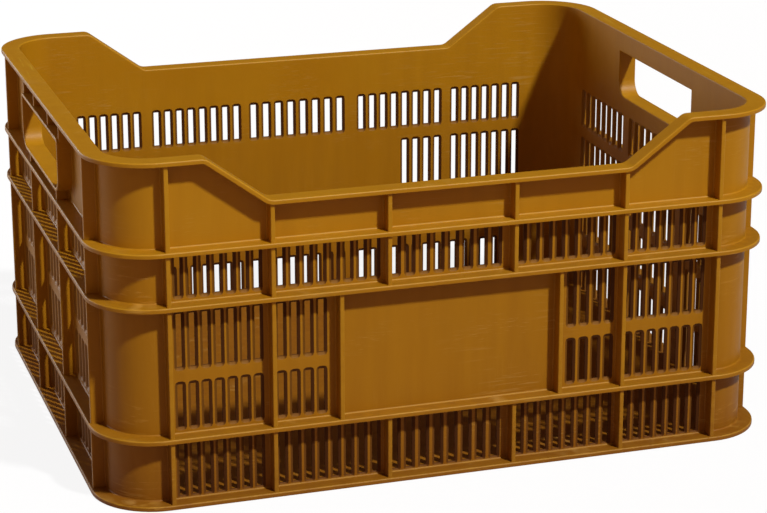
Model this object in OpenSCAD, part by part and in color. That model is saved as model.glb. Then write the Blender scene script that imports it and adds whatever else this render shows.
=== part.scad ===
// Ventilated plastic crate, moulded as one piece.
// Origin at the middle of the footprint on the ground, X along the long side, Z up, millimetres.

/* [Body] */
// Outer length over the flanges
body_l = 500; // [480:5:560]
// Outer width over the flanges
body_w = 402; // [390:2:440]
// Height of the raised rim over the ground
body_h = 247; // [242:1:270]
// Plan radius of the flange corners
corner_r = 46; // [40:1:50]

/* [Walls] */
// Thickness of the four walls
wall_t = 3.4; // [2.6:0.1:4]
// Thickness of every flange, foot and rim included
flange_t = 3.3; // [2.5:0.1:4]
// Reach of the flanges outward from the wall
flange_d = 10.8; // [9:0.2:13]
// Thickness of the floor
floor_t = 3; // [2:0.2:4]
// Height of the floor's underside over the ground
floor_up = 2; // [1:0.2:3]

/* [Flange heights] */
// Top of the lower flange
low_z = 51.3; // [49:0.1:54]
// Top of the middle flange
mid_z = 145.8; // [144:0.1:150]
// Top of the upper flange
high_z = 184.2; // [183:0.1:186]

/* [Rim dip] */
// How far the rim dips on the long sides
dip = 32.5; // [10:0.5:36]
// Where the slope starts, from the short side
dip_at = 75.5; // [70:0.5:90]
// Length of the slope along the side
dip_run = 44; // [20:1:50]
// Bend radius of the rim at the slope
dip_r = 9; // [2:1:14]

/* [Ribs] */
// Thickness of every rib
rib_t = 3.2; // [2:0.2:5]
// How far the rib faces stay behind the flange edges
rib_back = 1.6; // [0.5:0.1:3]
// Distance of the end ribs past the corner arc
rib_end = 2.8; // [2:0.2:8]
// Second rib of a long side, from the short side
rib_two = 121.2; // [118:0.2:126]
// Third rib of a long side, from the short side
rib_three = 203.8; // [198:0.2:208]
// Ribs at the blank label field, from the short side
rib_label = 169.3; // [164:0.1:174]
// Inner ribs of a short side, from the long side
rib_short = 148.5; // [144:0.5:154]

/* [Slots] */
// Part of its pitch that an upright slot takes on a long side
slot_part = 0.42; // [0.3:0.01:0.5]
// Part of its pitch that an upright slot takes on a short side
slot_part_short = 0.5; // [0.3:0.01:0.6]
// Slots in an end bay of a long side
slots_end = 7; // [3:1:7]
// Slots in every other bay
slots_bay = 8; // [4:2:8]
// Plain width beside the slots of an end bay
plain_end = 8.4; // [6:0.2:14]
// Plain width beside the slots of a second bay
plain_two = 5.6; // [4:0.2:12]
// Plain width beside the slots of the middle bay
plain_mid = 7.5; // [6:0.5:14]
// Plain width beside the slots of a short side bay
plain_short = 9.7; // [7:0.1:16]
// Nearest middle of a slot to a rib at the label field
plain_label = 5; // [4:0.5:8]

/* [Slot rows] */
// Lowest row over the foot flange
row_foot = 2; // [2:0.1:8]
// Lowest row and third row, below the flange over them
row_under = 5.3; // [2:0.1:8]
// Second row over the lower flange
row_low = 4.5; // [2:0.1:10]
// Plain rail over the lower flange, between the second row and the third
rail_up = 35.3; // [30:0.1:50]
// Height of that plain rail
rail_w = 12.4; // [6:0.1:16]
// Top row over the middle flange
row_mid = 4.3; // [2:0.1:8]
// Top row below the upper flange
row_high = 2.8; // [0.5:0.1:5]

/* [Handles] */
// Width of the hand hole
hand_w = 137.6; // [100:0.2:140]
// Height of the hand hole
hand_h = 36; // [26:0.5:37]
// Underside of the hand hole over the upper flange
hand_up = 10.3; // [8:0.1:14]
// Radius of the lower corners of the hand hole
hand_r = 12; // [4:1:14]
// Wall of the frame around the hand hole
frame_t = 2.6; // [2:0.2:3]
// Distance of the inner ribs over the frame from its middle
frame_rib = 27.9; // [20:0.1:40]

/* [Hidden] */
$fn = 96;
eps = 0.01;
in_d = flange_d + wall_t;                      // plan inset of the inner wall face
rib_d = flange_d - rib_back + wall_t / 2;      // rib depth, rooted in the wall
end_l = corner_r + rib_end;                    // end rib from the corner
low_rim = body_h - dip;
rib_x = [end_l, rib_two, rib_three, body_l - rib_three, body_l - rib_two, body_l - end_l];
rib_y = [end_l, rib_short, body_w - rib_short, body_w - end_l];
count_x = [slots_end, slots_bay, slots_bay, slots_bay, slots_end];
plain_x = [plain_end, plain_two, plain_mid, plain_two, plain_end];
shift_x = [-0.5, -0.5, -2.5, -0.5, -1.7];      // rows sit this far off the middle of their bay
hand_z = high_z + hand_up;
hand_y = body_w / 2;
// bottom and top of each slot row, lowest row first
row_1 = [flange_t + row_foot, low_z - flange_t - row_under];
row_2 = [low_z + row_low, low_z + rail_up];
row_3 = [low_z + rail_up + rail_w, mid_z - flange_t - row_under];
row_4 = [mid_z + row_mid, high_z - flange_t - row_high];

// each slot as its middle and its pitch, across a bay from one rib to the next
function row(a, b, n, plain, shift) =
    let (p = (b - a - plain) / n)
    [for (i = [0 : n - 1]) [(a + b) / 2 + shift + (i - (n - 1) / 2) * p, p]];
slot_x = [for (b = [0 : 4]) for (s = row(rib_x[b], rib_x[b + 1], count_x[b], plain_x[b], shift_x[b])) s];
slot_y = [for (b = [0 : 2]) for (s = row(rib_y[b], rib_y[b + 1], slots_bay, plain_short, 0)) s];
label_a = rib_label;
label_b = body_l - rib_label;
side_x = [for (s = slot_x) if (s[0] < label_a - plain_label || s[0] > label_b + plain_label) s];

// rim line of a long side, moved down square to itself
slope_a = atan2(dip, dip_run);
function bend(x, z, s, t) =
    let (r = s > 0 ? dip_r - t : dip_r + t, cut = dip_r * tan(slope_a / 2))
    [for (i = [0 : 3]) let (a = slope_a * i / 3)
        [x - cut + r * sin(a), z - s * dip_r + s * r * cos(a)]];
function turned(pts) = [for (i = [len(pts) - 1 : -1 : 0]) [body_l - pts[i][0], pts[i][1]]];
function fall(t) = concat(
    bend(dip_at, body_h, 1, t),
    turned(bend(body_l - dip_at - dip_run, low_rim, -1, t)));
function rim_line(t) = concat([[0, body_h - t]], fall(t), turned(fall(t)), [[body_l, body_h - t]]);
function back_to_front(pts) = [for (i = [len(pts) - 1 : -1 : 0]) pts[i]];

module plan(inset) {
    r = corner_r - inset;
    translate([corner_r, inset]) square([body_l - 2 * corner_r, body_w - 2 * inset]);
    translate([inset, corner_r]) square([body_l - 2 * inset, body_w - 2 * corner_r]);
    for (x = [corner_r, body_l - corner_r]) for (y = [corner_r, body_w - corner_r])
        translate([x, y]) circle(r);
}

module band(outer, inner) difference() {
    plan(outer);
    plan(inner);
}

module slots(at, part, span) for (s = at)
    translate([s[0] - part * s[1] / 2, span[0]]) square([part * s[1], span[1] - span[0]]);

// face of a long side, drawn upright
module long_face() difference() {
    intersection() {
        polygon(concat(rim_line(0), [[body_l, 0], [0, 0]]));
        translate([corner_r, 0]) square([body_l - 2 * corner_r, body_h]);
    }
    slots(slot_x, slot_part, row_1);
    slots(side_x, slot_part, row_2);
    slots(side_x, slot_part, row_3);
    slots(slot_x, slot_part, row_4);
}

module hand_shape(grow) {
    r = hand_r + grow;
    w = hand_w + 2 * grow;
    translate([hand_y - w / 2, hand_z - grow + r]) square([w, hand_h + 2 * grow - r]);
    translate([hand_y - w / 2 + r, hand_z - grow]) square([w - 2 * r, r + eps]);
    for (s = [-1, 1]) translate([hand_y + s * (w / 2 - r), hand_z - grow + r]) circle(r);
}

module short_face() difference() {
    translate([corner_r, 0]) square([body_w - 2 * corner_r, body_h]);
    slots(slot_y, slot_part_short, row_1);
    slots(slot_y, slot_part_short, row_2);
    slots(slot_y, slot_part_short, row_3);
    slots(slot_y, slot_part_short, row_4);
    hand_shape(0);
}

// stands a face drawn along X and Z up, its outer side at the given distance from the front
module stand_x(y, t) translate([0, y + t, 0]) rotate([90, 0, 0]) linear_extrude(t) children();
module stand_y(x, t) translate([x, 0, 0]) rotate([90, 0, 90]) linear_extrude(t) children();

module corner_wall(x, y, turn) translate([x, y, 0]) rotate([0, 0, turn])
    rotate_extrude(angle = 90) translate([corner_r - in_d, 0]) square([wall_t, body_h]);

module walls() {
    stand_x(flange_d, wall_t) long_face();
    stand_x(body_w - in_d, wall_t) long_face();
    stand_y(flange_d, wall_t) short_face();
    stand_y(body_l - in_d, wall_t) short_face();
    corner_wall(corner_r, corner_r, 180);
    corner_wall(body_l - corner_r, corner_r, 270);
    corner_wall(body_l - corner_r, body_w - corner_r, 0);
    corner_wall(corner_r, body_w - corner_r, 90);
}

module flange(top) translate([0, 0, top - flange_t]) linear_extrude(flange_t) band(0, in_d);

module rim() intersection() {
    translate([0, 0, low_rim - dip]) linear_extrude(2 * dip) band(0, in_d);
    stand_x(0, body_w) polygon(concat(rim_line(0), back_to_front(rim_line(flange_t))));
}

module rib_long(x, z0, z1) {
    for (y = [rib_back, body_w - rib_back - rib_d])
        translate([x - rib_t / 2, y, z0]) cube([rib_t, rib_d, z1 - z0]);
}

module rib_side(y, t, z0, z1) {
    for (x = [rib_back, body_l - rib_back - rib_d])
        translate([x, y - t / 2, z0]) cube([rib_d, t, z1 - z0]);
}

module ribs() {
    foot = flange_t / 2;
    for (i = [0, 5]) rib_long(rib_x[i], foot, body_h - flange_t / 2);
    for (i = [1, 4]) rib_long(rib_x[i], foot, low_rim - flange_t / 2);
    for (i = [2, 3]) {
        rib_long(rib_x[i], foot, low_z - flange_t / 2);
        rib_long(rib_x[i], mid_z - flange_t / 2, low_rim - flange_t / 2);
    }
    for (x = [label_a, label_b]) rib_long(x, low_z - flange_t / 2, mid_z - flange_t / 2);
    for (i = [0, 3]) rib_side(rib_y[i], rib_t, foot, body_h - flange_t / 2);
    for (i = [1, 2]) rib_side(rib_y[i], rib_t, foot, hand_z - frame_t / 2);
    for (s = [-1, 1]) {
        rib_side(hand_y + s * frame_rib, frame_t, hand_z + hand_h + frame_t / 2, body_h - flange_t / 2);
        rib_side(hand_y + s * (hand_w + frame_t) / 2, frame_t, hand_z + hand_h, body_h - flange_t / 2);
    }
}

module hand_frames() for (x = [0, body_l - flange_d - wall_t / 2])
    stand_y(x, flange_d + wall_t / 2) difference() {
        hand_shape(frame_t);
        hand_shape(0);
    }

module floor_plate() translate([0, 0, floor_up]) linear_extrude(floor_t) plan(flange_d + wall_t / 2);

module crate() color([0.62, 0.41, 0.09]) translate([-body_l / 2, -body_w / 2, 0]) {
    walls();
    flange(flange_t);
    flange(low_z);
    flange(mid_z);
    flange(high_z);
    rim();
    ribs();
    hand_frames();
    floor_plate();
}

crate();
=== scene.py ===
import math

import bpy
import numpy as np
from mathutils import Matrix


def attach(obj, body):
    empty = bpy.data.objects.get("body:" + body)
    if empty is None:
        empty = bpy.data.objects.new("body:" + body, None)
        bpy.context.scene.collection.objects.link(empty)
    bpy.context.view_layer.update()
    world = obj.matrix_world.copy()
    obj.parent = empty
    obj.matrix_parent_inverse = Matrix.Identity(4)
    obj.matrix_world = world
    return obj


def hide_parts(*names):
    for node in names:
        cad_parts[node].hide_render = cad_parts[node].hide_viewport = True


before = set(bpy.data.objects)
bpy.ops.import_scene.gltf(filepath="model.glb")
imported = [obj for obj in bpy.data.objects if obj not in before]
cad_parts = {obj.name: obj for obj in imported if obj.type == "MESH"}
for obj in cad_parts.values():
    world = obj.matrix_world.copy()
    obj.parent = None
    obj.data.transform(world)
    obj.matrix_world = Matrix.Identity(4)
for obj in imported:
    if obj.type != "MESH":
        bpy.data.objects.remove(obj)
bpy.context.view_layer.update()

# Photograph's view. The crate stands with a long side to the front, seen from its left front corner,
# from about waist height and some distance, so the upright edges stay nearly parallel.
eye = bpy.data.cameras.new("photo_view")
eye.lens = 115.764
eye.sensor_width = 36.0
eye.shift_x = -0.01575
eye.shift_y = -0.0688
eye_stand = bpy.data.objects.new("photo_view", eye)
eye_stand.location = (-0.54052, -1.72545, 0.68548)
eye_stand.rotation_euler = (math.radians(73.2945), math.radians(-0.0341), math.radians(-18.0657))
bpy.context.collection.objects.link(eye_stand)
bpy.context.scene.camera = eye_stand
bpy.context.scene.view_settings.view_transform = "Standard"

# Walls. One shot of coloured polypropylene fills the whole crate, and its long and short sides are thin skins
# pierced by upright slots that pins in the mould leave open. Each slot's edge is eased over on both faces.
# All shapes are worked out in millimetres from the front left corner on the ground.
long_l, short_w, tall = 500.0, 402.0, 247.0
corner_r, wall_t, flange_t, reach = 46.0, 3.4, 3.3, 10.8
inner = reach + wall_t
low_z, mid_z, high_z = 51.3, 145.8, 184.2
end_rib, rib_two, rib_three, rib_label, rib_short = 48.8, 121.2, 203.8, 169.3, 148.5
slot_round = 0.35
slots_x, slots_y = [7, 8, 8, 8, 7], [8, 8, 8]
plain_x, plain_y = [8.4, 5.6, 7.5, 5.6, 8.4], [9.7, 9.7, 9.7]
shift_x, shift_y = [-0.5, -0.5, -2.5, -0.5, -1.7], [0, 0, 0]
open_x, open_y = 0.42, 0.5
# Strength of the painted shade on the slots' eased edges, on the long sides and on the short sides.
grime_x, grime_y = 1.0, 0.45
ease_side = np.array([2.05, 1.93, 0.12, 0.0])
ease_end = np.array([2.4, 2.28, 0.12, 0.0])
ease_deep = np.array([0.0, 0.1, 1.05, 1.3])
# Painted shade over each eased edge, none where it leaves the flat face.
ease_grime = np.array([0.0, 1.0, 1.0, 1.0])
skins = []


def surface(points, wear_and_painted_light=0.0, close_a=False, close_b=False, turn=False, painted_shade=0.0):
    """Keeps a grid of points (a, b, 3) as quads between neighbours. Its two masks are grids (a, b) or single values
    from 0 to 1: the first makes edges lighter, partly from wear by handling and partly as a painted highlight, and
    the last is painted shade round the slots. close_a and close_b join the grid's last row or column to its first,
    and turn flips the faces."""
    p = np.asarray(points, float)
    na, nb = p.shape[:2]
    k = np.arange(na * nb).reshape(na, nb)
    a = np.vstack([k, k[:1]]) if close_a else k
    a = np.hstack([a, a[:, :1]]) if close_b else a
    quads = np.stack([a[:-1, :-1], a[1:, :-1], a[1:, 1:], a[:-1, 1:]], -1).reshape(-1, 4)
    wear_and_painted_light = np.broadcast_to(np.asarray(wear_and_painted_light, float), (na, nb)).reshape(-1)
    painted_shade = np.broadcast_to(np.asarray(painted_shade, float), (na, nb)).reshape(-1)
    skins.append((p.reshape(-1, 3), quads[:, ::-1] if turn else quads, np.column_stack([wear_and_painted_light, painted_shade])))


def bays(ribs, counts, plains, shifts):
    """Slot middles between the ribs: each bay's clear width less its plain part, shared out evenly."""
    rows = []
    for a, b, n, plain, shift in zip(ribs[:-1], ribs[1:], counts, plains, shifts):
        rows.append((a + b) / 2 + shift + (np.arange(n) - (n - 1) / 2) * (b - a - plain) / n)
    return rows


ribs_x = [end_rib, rib_two, rib_three, long_l - rib_three, long_l - rib_two, long_l - end_rib]
ribs_y = [end_rib, rib_short, short_w - rib_short, short_w - end_rib]
rows_x = bays(ribs_x, slots_x, plain_x, shift_x)
rows_y = bays(ribs_y, slots_y, plain_y, shift_y)
row_spans = [(5.3, 42.7), (55.8, 86.6), (99.0, 137.2), (150.1, 178.1)]
row_edges = [0.0, 49.6, 94.3, 144.2, high_z - flange_t / 2]


def side_points(length, across, x_side):
    """Turns (along, up, depth) of a side's own frame to crate points; depth counts inward from the wall's outer face.
    across is the crate's size square to the side, and None places the side at the origin's end."""
    def place(u, v, d):
        d = d + reach
        d = d if across is None else across - d
        u, v, d = np.broadcast_arrays(u, v, d)
        return np.stack([d, u, v] if x_side else [u, d, v], -1)
    return place


def pierced_side(place, rows, share, ribs, blank, grime, turn):
    """One side between its end ribs, up to the upper flange. Every slot gets a stack of 12-point loops, from the
    outer face over its eased edge, through the wall and over the inner edge; a blank field gets a plain grid. share
    is the open part of the pitch. Painted shade lies on the eased edges, darkest on a slot's right and upper edges,
    which face away from the sun, and least on its left and lower edges."""
    turns = np.radians([-90, -45, 0, 0, 45, 90, 90, 135, 180, 180, 225, 270])
    # Painted shade per loop point: full on the right and upper edges, which face away from the sun, less on the left
    # and lower ones.
    shade_by_turn = np.array([0.4, 0.8, 1, 1, 1, 1, 1, 0.85, 0.68, 0.68, 0.45, 0.3])
    bevel = ease_grime[:, None] * np.stack([shade_by_turn, shade_by_turn, shade_by_turn / 2 + 0.5, np.ones(12)])
    painted_shade = grime * np.vstack([np.zeros(12), bevel, bevel[::-1], np.zeros(12)])
    side = np.concatenate([ease_side, ease_side[::-1]])
    end = np.concatenate([ease_end, ease_end[::-1]])
    deep = np.concatenate([[0.0], ease_deep, wall_t - ease_deep[::-1], [wall_t]])[:, None]
    for j, (v0, v1) in enumerate(row_spans):
        b0, b1 = row_edges[j], row_edges[j + 1]
        for i, mids in enumerate(rows):
            seams = np.concatenate([[ribs[i]], (mids[1:] + mids[:-1]) / 2, [ribs[i + 1]]])
            half = share * (mids[1] - mids[0]) / 2
            for m, c0, c1 in zip(mids, seams[:-1], seams[1:]):
                inset = half - slot_round
                if j in (1, 2) and blank and blank[0] < m < blank[1]:
                    u = np.array([c0, m - inset, m + inset, c1])
                    v = np.array([b0, v0 + slot_round, v1 - slot_round, b1])
                    for d, t in ((0.0, turn), (wall_t, not turn)):
                        surface(place(u[:, None], v[None, :], d), turn=t)
                    continue
                cu = m + inset * np.array([1, 1, 1, 1, 1, 1, -1, -1, -1, -1, -1, -1])
                cv = np.array([v0 + slot_round] * 3 + [v1 - slot_round] * 6 + [v0 + slot_round] * 3)
                cell_u = np.array([cu[0], c1, c1, c1, c1, cu[5], cu[6], c0, c0, c0, c0, cu[11]])
                cell_v = np.array([b0, b0, cv[2], cv[3], b1, b1, b1, b1, cv[8], cv[9], b0, b0])
                loops_u = cu + (slot_round + side)[:, None] * np.cos(turns)
                loops_v = cv + (slot_round + end)[:, None] * np.sin(turns)
                u = np.vstack([cell_u, loops_u, cell_u])
                v = np.vstack([cell_v, loops_v, cell_v])
                surface(place(u, v, deep), close_b=True, turn=not turn, painted_shade=painted_shade)


blank_reach = 5.0
blank_field = (rib_label - blank_reach, long_l - rib_label + blank_reach)
front = side_points(long_l, None, False)
back = side_points(long_l, short_w, False)
left = side_points(short_w, None, True)
right = side_points(short_w, long_l, True)
pierced_side(front, rows_x, open_x, ribs_x, blank_field, grime_x, False)
pierced_side(back, rows_x, open_x, ribs_x, blank_field, grime_x, True)
pierced_side(left, rows_y, open_y, ribs_y, None, grime_y, True)
pierced_side(right, rows_y, open_y, ribs_y, None, grime_y, False)

# Plain skin. Past the end ribs the sides run plain into round corners, and over the upper flange they stay
# closed up to the rim; the long sides follow the rim's dip there.
dip, dip_at, dip_run, dip_r = 32.5, 75.5, 44.0, 9.0
corner_n = 15
quarter = np.linspace(0, 90, corner_n)


def plan_path(inset):
    """The rounded rectangle of the crate's plan, pulled in by inset, as points and outward normals, turning left
    from the right end of the front."""
    r = corner_r - inset
    mids = [(long_l - corner_r, corner_r, -90), (long_l - corner_r, short_w - corner_r, 0),
            (corner_r, short_w - corner_r, 90), (corner_r, corner_r, 180)]
    pts, nor = [], []
    for x, y, start in mids:
        t = np.radians(start + quarter)
        n = np.stack([np.cos(t), np.sin(t)], -1)
        pts.append(np.array([x, y]) + r * n)
        nor.append(n)
    return np.concatenate(pts), np.concatenate(nor)


def dip_line(steps=5):
    """Front rim from left to right as (x, z) with unit normals: level, a bend, the slope, a bend, level, mirrored."""
    slope = math.atan2(dip, dip_run)
    cut = dip_r * math.tan(slope / 2)
    t = np.linspace(0, slope, steps + 1)
    up = np.stack([dip_at - cut + dip_r * np.sin(t), tall - dip_r + dip_r * np.cos(t)], -1)
    foot = np.stack([dip_at + dip_run + cut - dip_r * np.sin(t), tall - dip + dip_r - dip_r * np.cos(t)], -1)[::-1]
    half = np.concatenate([up, foot])
    nor = np.concatenate([np.stack([np.sin(t), np.cos(t)], -1)] * 2)
    nor[steps + 1:] = nor[steps + 1:][::-1]
    other = half[::-1] * [-1, 1] + [long_l, 0]
    return np.concatenate([half, other]), np.concatenate([nor, nor[::-1] * [-1, 1]])


line, line_n = dip_line()
under = line - flange_t * line_n
heights = np.array(row_edges)
for place, ribs, length, turn in ((front, ribs_x, long_l, False), (back, ribs_x, long_l, True),
                                  (left, ribs_y, short_w, True), (right, ribs_y, short_w, False)):
    for u0, u1 in ((corner_r, ribs[0]), (ribs[-1], length - corner_r)):
        for d, t in ((0.0, turn), (wall_t, not turn)):
            surface(place(np.array([[u0], [u1]]), heights[None, :], d), turn=t)
for x, y, start in ((corner_r, corner_r, 180), (long_l - corner_r, corner_r, 270),
                    (long_l - corner_r, short_w - corner_r, 0), (corner_r, short_w - corner_r, 90)):
    z = np.append(heights, tall - flange_t)
    for r, t in ((corner_r - reach, False), (corner_r - inner, True)):
        a = np.radians(start + quarter)
        arc = np.stack([x + r * np.cos(a), y + r * np.sin(a)], -1)
        surface(np.dstack([np.repeat(arc[:, None, :], len(z), 1), np.broadcast_to(z, (corner_n, len(z)))]), turn=t)
panel_x = np.concatenate([[[corner_r, tall - flange_t]], under, [[long_l - corner_r, tall - flange_t]]])
for place, turn in ((front, False), (back, True)):
    for d, t in ((0.0, turn), (wall_t, not turn)):
        v = np.stack([np.full(len(panel_x), heights[-1]), panel_x[:, 1]], -1)
        surface(place(panel_x[:, :1], v, d), turn=t)

# Hand holes. Each short side has one, under the rim: a tube of plastic stands out from the wall to the flange
# edges, square at the top and round at the bottom, so that fingers meet no thin edge. The tube's section is
# carried round the hole as (distance from the hole's outline, depth).
hand_w, hand_z, hand_h, hand_r, hand_top_r, frame_t = 137.6, 194.5, 36.0, 12.0, 0.6, 2.6
hand_y = short_w / 2
grip = 1.2


def hand_loop(grow, steps=8):
    """The hand hole's outline moved out by grow, as (along, up): round lower corners, nearly square upper ones."""
    low, high = hand_r + grow, hand_top_r + max(grow, 0)
    w, z0, z1 = hand_w / 2 + grow, hand_z - grow, hand_z + hand_h + grow
    arcs = []
    for cu, cv, r, a in ((w - low, z0 + low, low, -90), (w - high, z1 - high, high, 0),
                         (-w + high, z1 - high, high, 90), (-w + low, z0 + low, low, 180)):
        t = np.radians(np.linspace(a, a + 90, steps + 1))
        arcs.append(np.stack([hand_y + cu + r * np.cos(t), cv + r * np.sin(t)], -1))
    return np.concatenate(arcs)


def cell_loop(loop, u0, u1, v0, v1, steps=8):
    """Points on the rectangle round a loop: each arc's first half slides along one side and its second half along
    the next, so that they pair with the loop's points."""
    k = steps // 2
    corners = [(u1, v0), (u1, v1), (u0, v1), (u0, v0)]
    cell = []
    for i, (cu, cv) in enumerate(corners):
        first, last = loop[i * (steps + 1)], loop[i * (steps + 1) + steps]
        start = np.array([first[0], cv]) if i % 2 == 0 else np.array([cu, first[1]])
        end = np.array([cu, last[1]]) if i % 2 == 0 else np.array([last[0], cv])
        s = np.linspace(0, 1, k + 1)[:, None]
        cell += [start + s * (np.array([cu, cv]) - start), np.array([cu, cv]) + s[1:] * (end - np.array([cu, cv]))]
    return np.concatenate(cell)


hole = hand_loop(grip)
around = cell_loop(hole, corner_r, short_w - corner_r, heights[-1], tall - flange_t)
tube = [(grip, wall_t), (0.55, wall_t - 0.12), (0.16, wall_t - 0.5), (0, wall_t - 1.2), (0, 0.8 - reach),
        (0.12, 0.35 - reach), (0.4, 0.08 - reach), (0.8, -reach), (frame_t - 0.8, -reach),
        (frame_t - 0.4, 0.08 - reach), (frame_t - 0.12, 0.35 - reach), (frame_t, 0.8 - reach), (frame_t, -0.9),
        (frame_t + 0.25, -0.3), (frame_t + 0.9, 0.0)]
# The tube's rounded edges are lighter, partly from wear by hands and partly as a painted highlight.
tube_wear_and_highlight = np.array([0, .6, .8, .3, 0, .6, 1, .6, .6, 1, .6, 0, 0, .2, 0])
for place, turn in ((left, True), (right, False)):
    for d, t in ((0.0, turn), (wall_t, not turn)):
        surface(place(np.stack([around[:, 0], hole[:, 0]]), np.stack([around[:, 1], hole[:, 1]]), d),
                close_b=True, turn=not t)
    loops = np.stack([hand_loop(n) for n, d in tube])
    depth = np.array([d for n, d in tube])[:, None]
    surface(place(loops[..., 0], loops[..., 1], depth), tube_wear_and_highlight[:, None], close_b=True, turn=turn)

# Flanges. The foot and three ledges run right round the crate at one outline, and the rim closes it at the
# top, dipping on the long sides. All have rounded edges and a small fillet where they leave the wall.
over_r, under_r, root_r = 1.1, 0.35, 1.0
edge_turns, root_turns = np.radians([0, 22, 45, 68, 90]), np.radians([0, 30, 60, 90])
# How much lighter each point of a section is, partly from wear and partly as a painted highlight: over the outer
# edge, most on its upper rounding, and over the rim's inner lip; on the fillets at the wall it is painted highlight
# only.
edge_wear_and_highlight = [0, 0.1, 0.2, 0.1, 0, 0.1, 0.5, 1.0, 0.7, 0.2]
root_highlight = [0.2, 0.7, 0.7, 0.3]
lip_wear_and_highlight = [0.2, 0.6, 0.8, 0.5, 0.1]


def flange_profile(top, foot=False):
    """Closed section as (depth from the outer edge, height): rounded outer edge, flat faces, fillets to the wall.
    The mask makes the rounded edges lighter, partly from wear and partly as a painted highlight, and gives the
    fillets a painted highlight on the long sides only, so it is 0 at the path's points round the corners."""
    a, b, f = edge_turns, root_turns, root_r
    lower = under_r * np.stack([1 - np.sin(a), 1 - np.cos(a)], -1)
    upper = np.stack([over_r - over_r * np.cos(a), flange_t - over_r + over_r * np.sin(a)], -1)
    fillet = np.stack([reach - f + f * np.sin(b), flange_t + f - f * np.cos(b)], -1)
    mid = reach + wall_t / 2
    if foot:
        start = np.array([[inner, 0.0]])
        close = np.array([[mid, flange_t + f], [mid, flange_t], [inner, flange_t]])
    else:
        start = np.vstack([[[mid, -f]], (fillet * [1, -1] + [0, flange_t])[::-1]])
        close = np.array([[mid, flange_t + f]])
    flat = [[reach - f - 1.5, 0.0]]
    pts = np.vstack([start, flat, lower, upper, [[reach - f - 1.5, flange_t]], fillet, close])
    wear_and_painted_light = np.zeros(len(pts))
    n = len(start) + 1
    wear_and_painted_light[n:n + 10] = edge_wear_and_highlight
    wear_and_painted_light[n + 11:n + 15] = root_highlight
    wear_and_painted_light = np.tile(wear_and_painted_light, (4 * corner_n, 1))
    for first in (0, 2 * corner_n):
        wear_and_painted_light[first + 1:first + 2 * corner_n - 1, n + 11:n + 15] = 0
    return pts + [0, top - flange_t], wear_and_painted_light


def ring(profile, wear_and_painted_light, path, out, lift, lean, closed=True):
    """Carries a section round a path: points = path + lean * height - out * depth, all as whole arrays."""
    d, h = profile[:, 0], profile[:, 1]
    pts = path[:, None, :] - out[:, None, :] * d[None, :, None] + lean[:, None, :] * (h - lift)[None, :, None]
    surface(pts, np.broadcast_to(wear_and_painted_light, (len(path), len(d))), close_a=True, close_b=closed)


plan, plan_n = plan_path(0.0)
flat_path = np.column_stack([plan, np.zeros(len(plan))])
flat_out = np.column_stack([plan_n, np.zeros(len(plan))])
rise = np.tile([0.0, 0.0, 1.0], (len(plan), 1))
for top in (flange_t, low_z, mid_z, high_z):
    profile, wear_and_painted_light = flange_profile(top, top == flange_t)
    ring(profile, wear_and_painted_light, flat_path, flat_out, 0.0, rise)

# The rim's section is open where it sits on the wall, so that its faces carry on from the skin's.
a, b, r = edge_turns, root_turns, over_r
rim_section = np.vstack([
    [[reach + wall_t / 2, -root_r]],
    root_r * np.stack([reach / root_r - 1 + np.sin(b), np.cos(b) - 1], -1)[::-1],
    [[reach - root_r - 1.5, 0.0]],
    under_r * np.stack([1 - np.sin(a), 1 - np.cos(a)], -1),
    np.stack([r - r * np.cos(a), flange_t - r + r * np.sin(a)], -1),
    [[reach / 2, flange_t]],
    np.stack([inner - r + r * np.sin(a), flange_t - r + r * np.cos(a)], -1),
    [[inner, 0.0]]])
rim_wear_and_highlight = np.zeros(len(rim_section))
rim_wear_and_highlight[6:16] = edge_wear_and_highlight
rim_wear_and_highlight[17:22] = lip_wear_and_highlight
front_line = np.column_stack([line[:, 0], np.zeros(len(line)), line[:, 1]])
back_line = np.column_stack([line[::-1, 0], np.full(len(line), short_w), line[::-1, 1]])
front_lean = np.column_stack([line_n[:, 0], np.zeros(len(line)), line_n[:, 1]])
corners = np.column_stack([plan, np.full(len(plan), tall)])
to_back = np.tile([0.0, 1.0, 0.0], (len(line), 1))
half_way = 2 * corner_n
rim_path = np.vstack([corners[:half_way], back_line, corners[half_way:], front_line])
rim_out = np.vstack([flat_out[:half_way], to_back, flat_out[half_way:], -to_back])
rim_lean = np.vstack([rise[:half_way], front_lean[::-1], rise[half_way:], front_lean])
ring(rim_section, rim_wear_and_highlight, rim_path, rim_out, flange_t, rim_lean, closed=False)

# Ribs. Upright webs tie the flanges together and keep the thin sides from bulging. They stay a little behind
# the flange edges, and short ones stand over and under the hand holes.
rib_t, rib_back, rib_r, rib_root = 3.2, 1.6, 0.7, 0.9
foot_in, flange_in, frame_in, frame_rib = 1.5, 1.6, 1.3, 27.9
# The rib's rounded front edges are lighter, partly from wear and partly as a painted highlight.
rib_wear_and_highlight = np.array([0, 0, 0, 0, 0, 0.1, 0.5, 0.6, 0.5, 0.5, 0.6, 0.5, 0.1, 0, 0, 0, 0, 0])


def rib(place, mids, t, v0, v1, turn):
    """Closed upright bar on a side: outer edges rounded, fillets at its root, its ends sunk into the flanges."""
    r, f = rib_r, rib_root
    face = rib_back - reach
    h = t / 2
    a = np.radians([0, 30, 60, 90])
    du = np.concatenate([-h - f + f * np.sin(a), -h + r - r * np.cos(a)])
    dd = np.concatenate([-f + f * np.cos(a), face + r - r * np.sin(a)])
    du = np.concatenate([[-h - f], du, -du[::-1], [h + f]])
    dd = np.concatenate([[wall_t / 2], dd, dd[::-1], [wall_t / 2]])
    v = np.array([v0, v1])
    for m in np.atleast_1d(mids):
        surface(place((m + du)[None, :], v[:, None], dd[None, :]), rib_wear_and_highlight[None, :], close_b=True, turn=turn)


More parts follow.
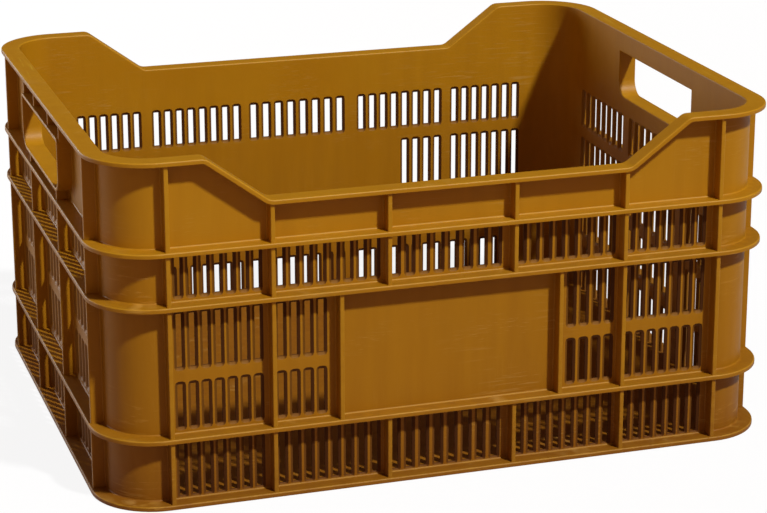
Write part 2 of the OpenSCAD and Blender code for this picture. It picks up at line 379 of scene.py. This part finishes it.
low_rim = tall - dip
for place, turn in ((front, True), (back, False)):
    rib(place, [ribs_x[0], ribs_x[5]], rib_t, foot_in, tall - flange_in, turn)
    rib(place, [ribs_x[1], ribs_x[4]], rib_t, foot_in, low_rim - flange_in, turn)
    rib(place, [ribs_x[2], ribs_x[3]], rib_t, foot_in, low_z - flange_in, turn)
    rib(place, [ribs_x[2], ribs_x[3]], rib_t, mid_z - flange_in, low_rim - flange_in, turn)
    rib(place, [rib_label, long_l - rib_label], rib_t, low_z - flange_in, mid_z - flange_in, turn)
for place, turn in ((left, False), (right, True)):
    rib(place, [ribs_y[0], ribs_y[3]], rib_t, foot_in, tall - flange_in, turn)
    rib(place, [ribs_y[1], ribs_y[2]], rib_t, foot_in, hand_z - frame_in, turn)
    rib(place, [hand_y - frame_rib, hand_y + frame_rib], frame_t, hand_z + hand_h + frame_in, tall - flange_in, turn)
    frame_side = (hand_w + frame_t) / 2
    rib(place, [hand_y - frame_side, hand_y + frame_side], frame_t, hand_z + hand_h, tall - flange_in, turn)

# Floor. A flat closed plate joins the walls all round, just over the ground, with its edge sunk in the skin.
floor_z0, floor_z1 = 2.0, 5.0
edge, _ = plan_path(inner - wall_t / 2)
near = np.vstack([edge[3 * corner_n:], edge[:corner_n]])
far = near * [1, -1] + [0, short_w]
across = np.linspace(0, 1, 9)[None, :, None]
sheet = near[:, None, :] * (1 - across) + far[:, None, :] * across
for z, turn in ((floor_z1, False), (floor_z0, True)):
    surface(np.dstack([sheet, np.full(sheet.shape[:2], z)]), turn=turn)

# The moulding as one body. Its surfaces are joined here into one mesh, in metres, about the middle of the footprint.
# It carries two masks: lighter edges, partly wear from handling and partly painted highlight, and painted shade in
# the slots.
firsts = np.cumsum([0] + [len(s[0]) for s in skins])
verts = (np.concatenate([s[0] for s in skins]) - [long_l / 2, short_w / 2, 0]) / 1000
quads = np.concatenate([s[1] + n for s, n in zip(skins, firsts)])
wear_and_painted_light = np.concatenate([s[2] for s in skins])
verts, keep, joined = np.unique(np.round(verts, 7), axis=0, return_index=True, return_inverse=True)
quads, wear_and_painted_light = joined.reshape(-1)[quads], wear_and_painted_light[keep]
quads = quads[[len(set(q)) == 4 for q in quads.tolist()]]
shell = bpy.data.meshes.new("crate_shell")
shell.from_pydata(verts, [], quads)
edge_mask = shell.attributes.new("wear_and_highlight", "FLOAT", "POINT")
edge_mask.data.foreach_set("value", wear_and_painted_light[:, 0].astype(np.float32))
slot_shade_mask = shell.attributes.new("slot_grime", "FLOAT", "POINT")
slot_shade_mask.data.foreach_set("value", wear_and_painted_light[:, 1].astype(np.float32))
shell.polygons.foreach_set("use_smooth", np.ones(len(quads), bool))
shell.update()
shell.set_sharp_from_angle(angle=math.radians(40))
crate = bpy.data.objects.new("crate_shell", shell)
bpy.context.collection.objects.link(crate)
even = crate.modifiers.new("even_shading", "WEIGHTED_NORMAL")
even.keep_sharp = True
even.weight = 80
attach(crate, "root")
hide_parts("crate")

# Plastic finish. The ochre is in the plastic itself, and it turns darker and browner toward the foot. Dust lies on
# the ledges, painted shade darkens the slots' eased edges, edges are lighter from wear and a painted highlight, and
# short scuffs, strokes on the corners and streaks on the rim show where crates have slid past each other.


def add(tree, kind, **values):
    """One node with settings and unlinked input values by name."""
    node = tree.nodes.new(kind)
    for name, value in values.items():
        if name in node.inputs:
            node.inputs[name].default_value = value
        else:
            setattr(node, name, value)
    return node


def scaled(tree, source, by):
    """A vector socket times a fixed vector."""
    node = add(tree, "ShaderNodeVectorMath", operation="MULTIPLY")
    node.inputs[1].default_value = by
    tree.links.new(source, node.inputs[0])
    return node.outputs["Vector"]


def ramp(tree, source, low, high, to_low=0.0, to_high=1.0):
    """Clamped straight ramp of a value socket."""
    node = tree.nodes.new("ShaderNodeMapRange")
    for name, value in (("From Min", low), ("From Max", high), ("To Min", to_low), ("To Max", to_high)):
        node.inputs[name].default_value = value
    tree.links.new(source, node.inputs["Value"])
    return node.outputs["Result"]


def combined(tree, a, b, operation="MULTIPLY"):
    """Two values combined by one operation, such as a times b or a plus b; b may be a number."""
    node = add(tree, "ShaderNodeMath", operation=operation)
    tree.links.new(a, node.inputs[0])
    if isinstance(b, (int, float)):
        node.inputs[1].default_value = b
    else:
        tree.links.new(b, node.inputs[1])
    return node.outputs["Value"]


def noise(tree, source, scale, detail=2.0, roughness=0.5, distortion=0.0):
    """Noise value at a scale per metre."""
    node = tree.nodes.new("ShaderNodeTexNoise")
    settings = {"Scale": scale, "Detail": detail, "Roughness": roughness, "Distortion": distortion}
    for name, value in settings.items():
        node.inputs[name].default_value = value
    tree.links.new(source, node.inputs["Vector"])
    return node.outputs["Fac"]


def blend(tree, factor, a, b):
    """Colour mix; a and b are sockets or plain colours."""
    node = add(tree, "ShaderNodeMix", data_type="RGBA")
    tree.links.new(factor, node.inputs["Factor"])
    for name, value in (("A", a), ("B", b)):
        socket = next(i for i in node.inputs if i.name == name and i.type == "RGBA")
        if isinstance(value, tuple):
            socket.default_value = value
        else:
            tree.links.new(value, socket)
    return next(o for o in node.outputs if o.type == "RGBA")


scuffs = bpy.data.node_groups.new("scuffs", "ShaderNodeTree")
scuffs.interface.new_socket("Place", in_out="INPUT", socket_type="NodeSocketVector")
scuffs.interface.new_socket("Patches", in_out="INPUT", socket_type="NodeSocketVector")
scuffs.interface.new_socket("Mask", in_out="OUTPUT", socket_type="NodeSocketFloat")
gin, gout = scuffs.nodes.new("NodeGroupInput"), scuffs.nodes.new("NodeGroupOutput")
strokes = ramp(scuffs, noise(scuffs, gin.outputs["Place"], 1.0, 2.0, 0.6, 0.35), 0.57, 0.72)
areas = ramp(scuffs, noise(scuffs, gin.outputs["Patches"], 1.0, 1.0), 0.54, 0.7)
scuffs.links.new(combined(scuffs, strokes, areas), gout.inputs["Mask"])

ochre_low, ochre_high = (0.43, 0.188, 0.003, 1), (0.475, 0.221, 0.005, 1)
# Colours: a darker brown toward the foot, dust, and the painted shade in the slots; then the lighter edges, partly
# wear and partly painted highlight, and the marks.
low_brown, dust_brown, grime_brown = (0.215, 0.072, 0.002, 1), (0.2, 0.072, 0.008, 1), (0.085, 0.026, 0.002, 1)
rubbed_ochre, scuff_ochre = (0.6, 0.34, 0.022, 1), (0.62, 0.38, 0.1, 1)
stroke_ochre, streak_ochre = (0.6, 0.33, 0.06, 1), (0.66, 0.45, 0.04, 1)
plastic = bpy.data.materials.new("ochre_plastic")
plastic.use_nodes = True
tree = plastic.node_tree
skin = tree.nodes["Principled BSDF"]
where = tree.nodes.new("ShaderNodeTexCoord").outputs["Object"]
parts = tree.nodes.new("ShaderNodeSeparateXYZ")
tree.links.new(where, parts.inputs["Vector"])
height = parts.outputs["Z"]


def scuff_mask(along, patches):
    """The scuffs group at one direction and density."""
    node = add(tree, "ShaderNodeGroup", node_tree=scuffs)
    tree.links.new(scaled(tree, where, along), node.inputs["Place"])
    tree.links.new(scaled(tree, where, patches), node.inputs["Patches"])
    return node.outputs["Mask"]


long_scuffs = scuff_mask((38, 38, 620), (11, 14, 17))
fine_scuffs = scuff_mask((95, 95, 1500), (23, 19, 31))
cross_scuffs = combined(tree, scuff_mask((850, 60, 45), (16, 21, 12)), 0.25)
apart = add(tree, "ShaderNodeVectorMath", operation="ABSOLUTE")
tree.links.new(where, apart.inputs[0])
away = tree.nodes.new("ShaderNodeSeparateXYZ")
tree.links.new(apart.outputs["Vector"], away.inputs["Vector"])
at_end, at_side = ramp(tree, away.outputs["X"], 0.203, 0.212), ramp(tree, away.outputs["Y"], 0.154, 0.163)
corner_posts = combined(tree, at_end, at_side)
ripples = combined(tree, combined(tree, scuff_mask((55, 55, 430), (12, 12, 21)), 2.0), corner_posts)
on_rim = ramp(tree, height, 0.2464, 0.2468)
streaks = blend(tree, at_side, scuff_mask((560, 24, 24), (26, 9, 9)), scuff_mask((24, 560, 24), (9, 26, 9)))
streaks = combined(tree, combined(tree, streaks, 1.8), on_rim)
marks = combined(tree, combined(tree, long_scuffs, fine_scuffs, "MAXIMUM"), cross_scuffs, "MAXIMUM")

cloud = noise(tree, where, 14.0, 3.0, 0.55)
grain = noise(tree, where, 130.0, 4.0, 0.6)
runs = noise(tree, scaled(tree, where, (70, 70, 7)), 1.0, 3.0, 0.6)
# The colour turns darker and browner toward the foot, by the height in the crate.
sink = tree.nodes.new("ShaderNodeFloatCurve")
points = sink.mapping.curves[0].points
points[0].location, points[1].location = (0.0, 0.86), (1.0, 0.0)
for x, y in ((0.16, 0.58), (0.28, 0.38), (0.46, 0.31), (0.62, 0.24), (0.76, 0.02)):
    points.new(x, y)
sink.mapping.update()
tree.links.new(combined(tree, height, 1000 / tall), sink.inputs["Value"])
spread = combined(tree, ramp(tree, cloud, 0.3, 0.7, -0.08, 0.08), ramp(tree, runs, 0.35, 0.7, -0.05, 0.1), "ADD")
darker_low = combined(tree, sink.outputs["Value"], spread, "ADD")
geometry = tree.nodes.new("ShaderNodeNewGeometry")
facing_parts = tree.nodes.new("ShaderNodeSeparateXYZ")
tree.links.new(geometry.outputs["Normal"], facing_parts.inputs["Vector"])
dust = combined(tree, ramp(tree, facing_parts.outputs["Z"], 0.6, 0.95), ramp(tree, height, 0.19, 0.18))
dust = combined(tree, dust, ramp(tree, grain, 0.35, 0.65, 0.1, 0.35))

clean = blend(tree, ramp(tree, cloud, 0.3, 0.7), ochre_low, ochre_high)
darkened_low = blend(tree, darker_low, clean, low_brown)
dusty = blend(tree, dust, darkened_low, dust_brown)
# Painted shade round the slots, from the mesh's mask.
slot_shade_attr = tree.nodes.new("ShaderNodeAttribute")
slot_shade_attr.attribute_name = "slot_grime"
slot_shaded = blend(tree, slot_shade_attr.outputs["Fac"], dusty, grime_brown)
# Lighter edges from the mesh's mask, partly wear and partly painted highlight.
wear_and_highlight = tree.nodes.new("ShaderNodeAttribute")
wear_and_highlight.attribute_name = "wear_and_highlight"
rubbed = combined(tree, combined(tree, wear_and_highlight.outputs["Fac"], ramp(tree, grain, 0.3, 0.6, 0.2, 0.7)), 0.6)
with_wear_and_highlight = blend(tree, rubbed, slot_shaded, rubbed_ochre)
marks = combined(tree, marks, ramp(tree, slot_shade_attr.outputs["Fac"], 0.0, 0.5, 1.0, 0.0))
marked = blend(tree, combined(tree, marks, 0.3), with_wear_and_highlight, scuff_ochre)
marked = blend(tree, combined(tree, ripples, 0.35), marked, stroke_ochre)
marked = blend(tree, combined(tree, streaks, 0.4), marked, streak_ochre)
tree.links.new(marked, skin.inputs["Base Color"])
roughness = combined(tree, ramp(tree, grain, 0.3, 0.7, 0.42, 0.5), combined(tree, darker_low, 0.08), "ADD")
roughness = combined(tree, roughness, combined(tree, slot_shade_attr.outputs["Fac"], 0.28), "ADD")
tree.links.new(combined(tree, roughness, combined(tree, marks, 0.12), "ADD"), skin.inputs["Roughness"])
skin.inputs["Specular IOR Level"].default_value = 0.24

waves = add(tree, "ShaderNodeBump", Strength=0.2, Distance=0.0012)
uneven = combined(tree, noise(tree, where, 38.0, 2.0), combined(tree, ripples, 0.25), "ADD")
tree.links.new(uneven, waves.inputs["Height"])
fine = add(tree, "ShaderNodeBump", Strength=0.25, Distance=0.00012)
tree.links.new(combined(tree, noise(tree, where, 900.0, 3.0), marks, "ADD"), fine.inputs["Height"])
tree.links.new(waves.outputs["Normal"], fine.inputs["Normal"])
tree.links.new(fine.outputs["Normal"], skin.inputs["Normal"])
shell.materials.append(plastic)

# Studio. A pale floor with the crate's soft shadow, one sun from the front and right, a weak pale panel behind
# on the left, and a dim warm room that is a little brighter toward the front. The camera sees floor and room white.
floor_mesh = bpy.data.meshes.new("studio_floor")
out = 6.0
floor_mesh.from_pydata([(-out, -out, 0), (out, -out, 0), (out, out, 0), (-out, out, 0)], [], [(0, 1, 2, 3)])
studio_floor = bpy.data.objects.new("studio_floor", floor_mesh)
bpy.context.collection.objects.link(studio_floor)
pale = bpy.data.materials.new("pale_floor")
pale.use_nodes = True
tree = pale.node_tree
tree.nodes.clear()


def either(tree, factor, a, b):
    """Shader mix; factor is a socket or a number."""
    node = tree.nodes.new("ShaderNodeMixShader")
    if isinstance(factor, float):
        node.inputs["Fac"].default_value = factor
    else:
        tree.links.new(factor, node.inputs["Fac"])
    tree.links.new(a, node.inputs[1])
    tree.links.new(b, node.inputs[2])
    return node.outputs["Shader"]


rays = tree.nodes.new("ShaderNodeLightPath")
white = add(tree, "ShaderNodeEmission", Strength=1.03).outputs["Emission"]
shade = add(tree, "ShaderNodeBsdfDiffuse", Color=(0.85, 0.85, 0.85, 1)).outputs["BSDF"]
bounce = add(tree, "ShaderNodeBsdfDiffuse", Color=(0.32, 0.2, 0.15, 1)).outputs["BSDF"]
sheen = add(tree, "ShaderNodeEmission", Color=(0.62, 0.61, 0.6, 1)).outputs["Emission"]
unseen = either(tree, rays.outputs["Is Glossy Ray"], bounce, sheen)
pale_skin = either(tree, rays.outputs["Is Camera Ray"], unseen, either(tree, 0.13, white, shade))
tree.links.new(pale_skin, tree.nodes.new("ShaderNodeOutputMaterial").inputs["Surface"])
floor_mesh.materials.append(pale)

sun = bpy.data.lights.new("sun", "SUN")
sun.energy = 2.97
sun.angle = math.radians(4.0)
sun_stand = bpy.data.objects.new("sun", sun)
sun_way = np.array([-0.58, 1.0, -1.39])
sun_tilt = math.acos(-sun_way[2] / np.linalg.norm(sun_way))
sun_stand.rotation_euler = (sun_tilt, 0, math.atan2(-sun_way[0], sun_way[1]))
bpy.context.collection.objects.link(sun_stand)

back_light = bpy.data.lights.new("back_light", "AREA")
back_light.shape = "RECTANGLE"
back_light.size, back_light.size_y = 2.4, 1.0
back_light.energy = 44.0
back_stand = bpy.data.objects.new("back_light", back_light)
back_stand.location = (-1.9, 2.3, 0.4)
back_stand.rotation_euler = (math.radians(95), 0, math.radians(180 + 39.6))
bpy.context.collection.objects.link(back_stand)

room = bpy.data.worlds.new("room")
bpy.context.scene.world = room
room.use_nodes = True
tree = room.node_tree
rays = tree.nodes.new("ShaderNodeLightPath")
front_part = add(tree, "ShaderNodeVectorMath", operation="DOT_PRODUCT")
front_part.inputs[1].default_value = (-0.36, -0.93, 0.08)
tree.links.new(tree.nodes.new("ShaderNodeTexCoord").outputs["Generated"], front_part.inputs[0])
room_light = blend(tree, front_part.outputs["Value"], (0.09, 0.054, 0.042, 1), (0.33, 0.2, 0.15, 1))
room_seen = blend(tree, rays.outputs["Is Camera Ray"], room_light, (1.0, 1.0, 1.0, 1))
room_all = blend(tree, rays.outputs["Is Glossy Ray"], room_seen, (0.04, 0.04, 0.04, 1))
tree.links.new(room_all, tree.nodes["Background"].inputs["Color"])
